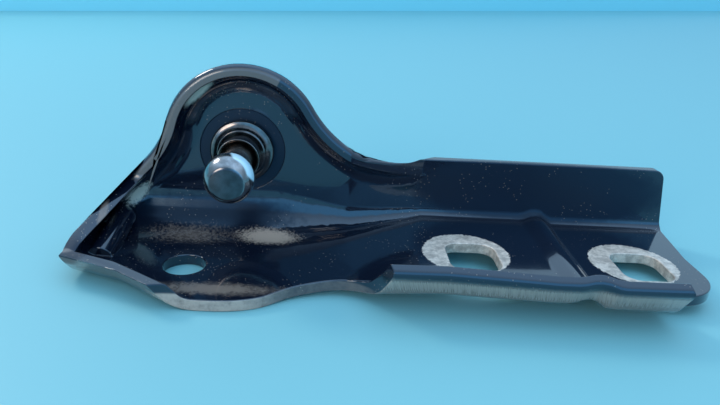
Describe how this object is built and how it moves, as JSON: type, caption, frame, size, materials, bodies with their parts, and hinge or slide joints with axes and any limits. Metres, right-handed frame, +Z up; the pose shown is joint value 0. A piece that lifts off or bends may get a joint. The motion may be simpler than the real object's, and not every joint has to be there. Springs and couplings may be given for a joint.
{
  "type": "strut bracket",
  "caption": "Pressed steel bracket with a riveted ball stud on a domed ear, bolt slots and a lipped floor, for the end of a gas strut.",
  "frame": {"origin": "centre of the ball on the stud", "axes": "+X along the bracket from the ear to the bolt pads, +Y from the ball back to the ear along the stud, +Z up from the bolt pads"},
  "size_m": [0.134, 0.0449, 0.041],
  "materials": {
    "black_coat": "glossy black dip coat, dusty, bare round the bolt slots",
    "stud_steel": "dark coated steel, worn on its edges"
  },
  "bodies": {
    "root": {"bracket": "black_coat", "ball_stud": "stud_steel"}
  },
  "joints": []
}
